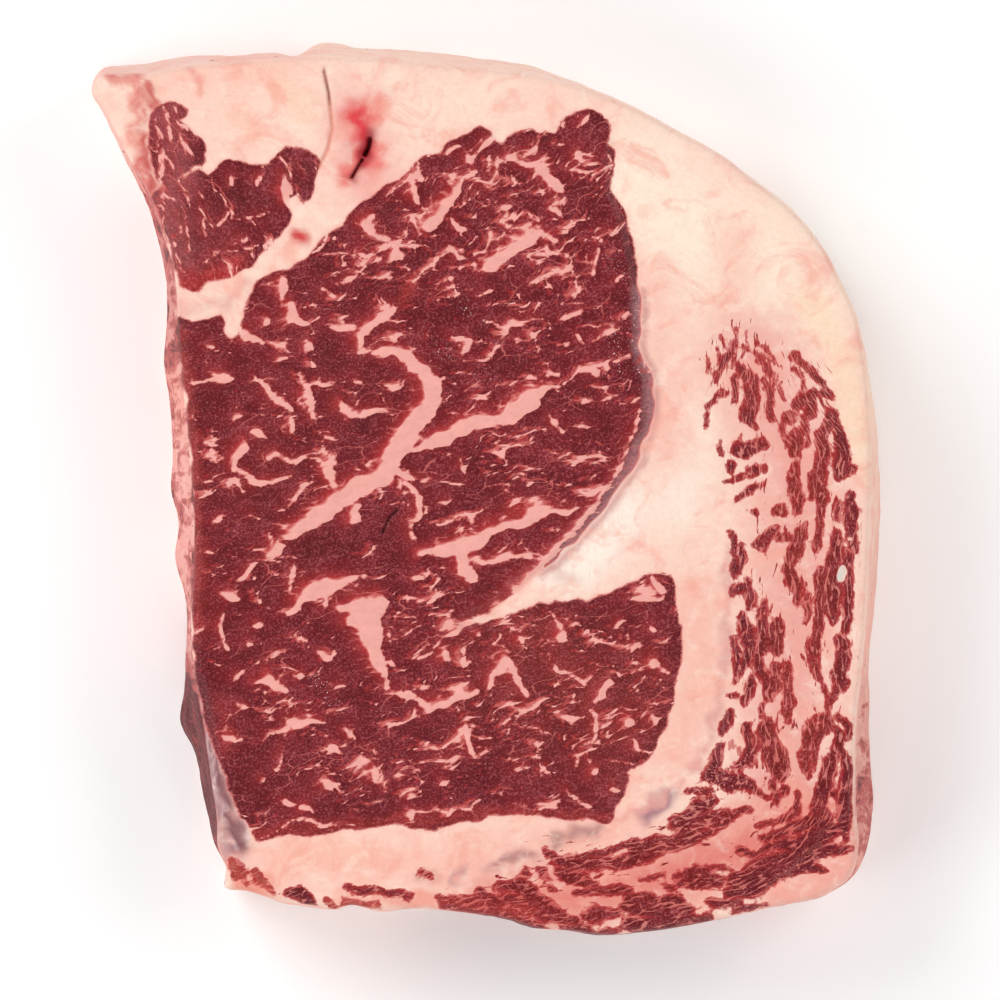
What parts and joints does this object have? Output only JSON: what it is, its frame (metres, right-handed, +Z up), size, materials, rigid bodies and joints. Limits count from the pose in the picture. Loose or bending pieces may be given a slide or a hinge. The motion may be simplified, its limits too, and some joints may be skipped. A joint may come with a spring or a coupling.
{
  "type": "raw beef ribeye steak",
  "caption": "Thick boneless slice of raw marbled beef, flat on both cut faces, with a curved fat edge, a pointed lip end and a straighter trimmed side.",
  "frame": {"origin": "on the surface that the steak lies on, under the middle of its bounding box", "axes": "+Z up through the thickness, +Y towards the thick fat edge along the steak's length, +X towards the cap muscle's side"},
  "size_m": [0.1468, 0.1666, 0.0323],
  "materials": {
    "raw_beef": "moist raw meat with pale fat and marbling"
  },
  "bodies": {
    "root": {"ribeye_steak": "raw_beef"}
  },
  "joints": []
}
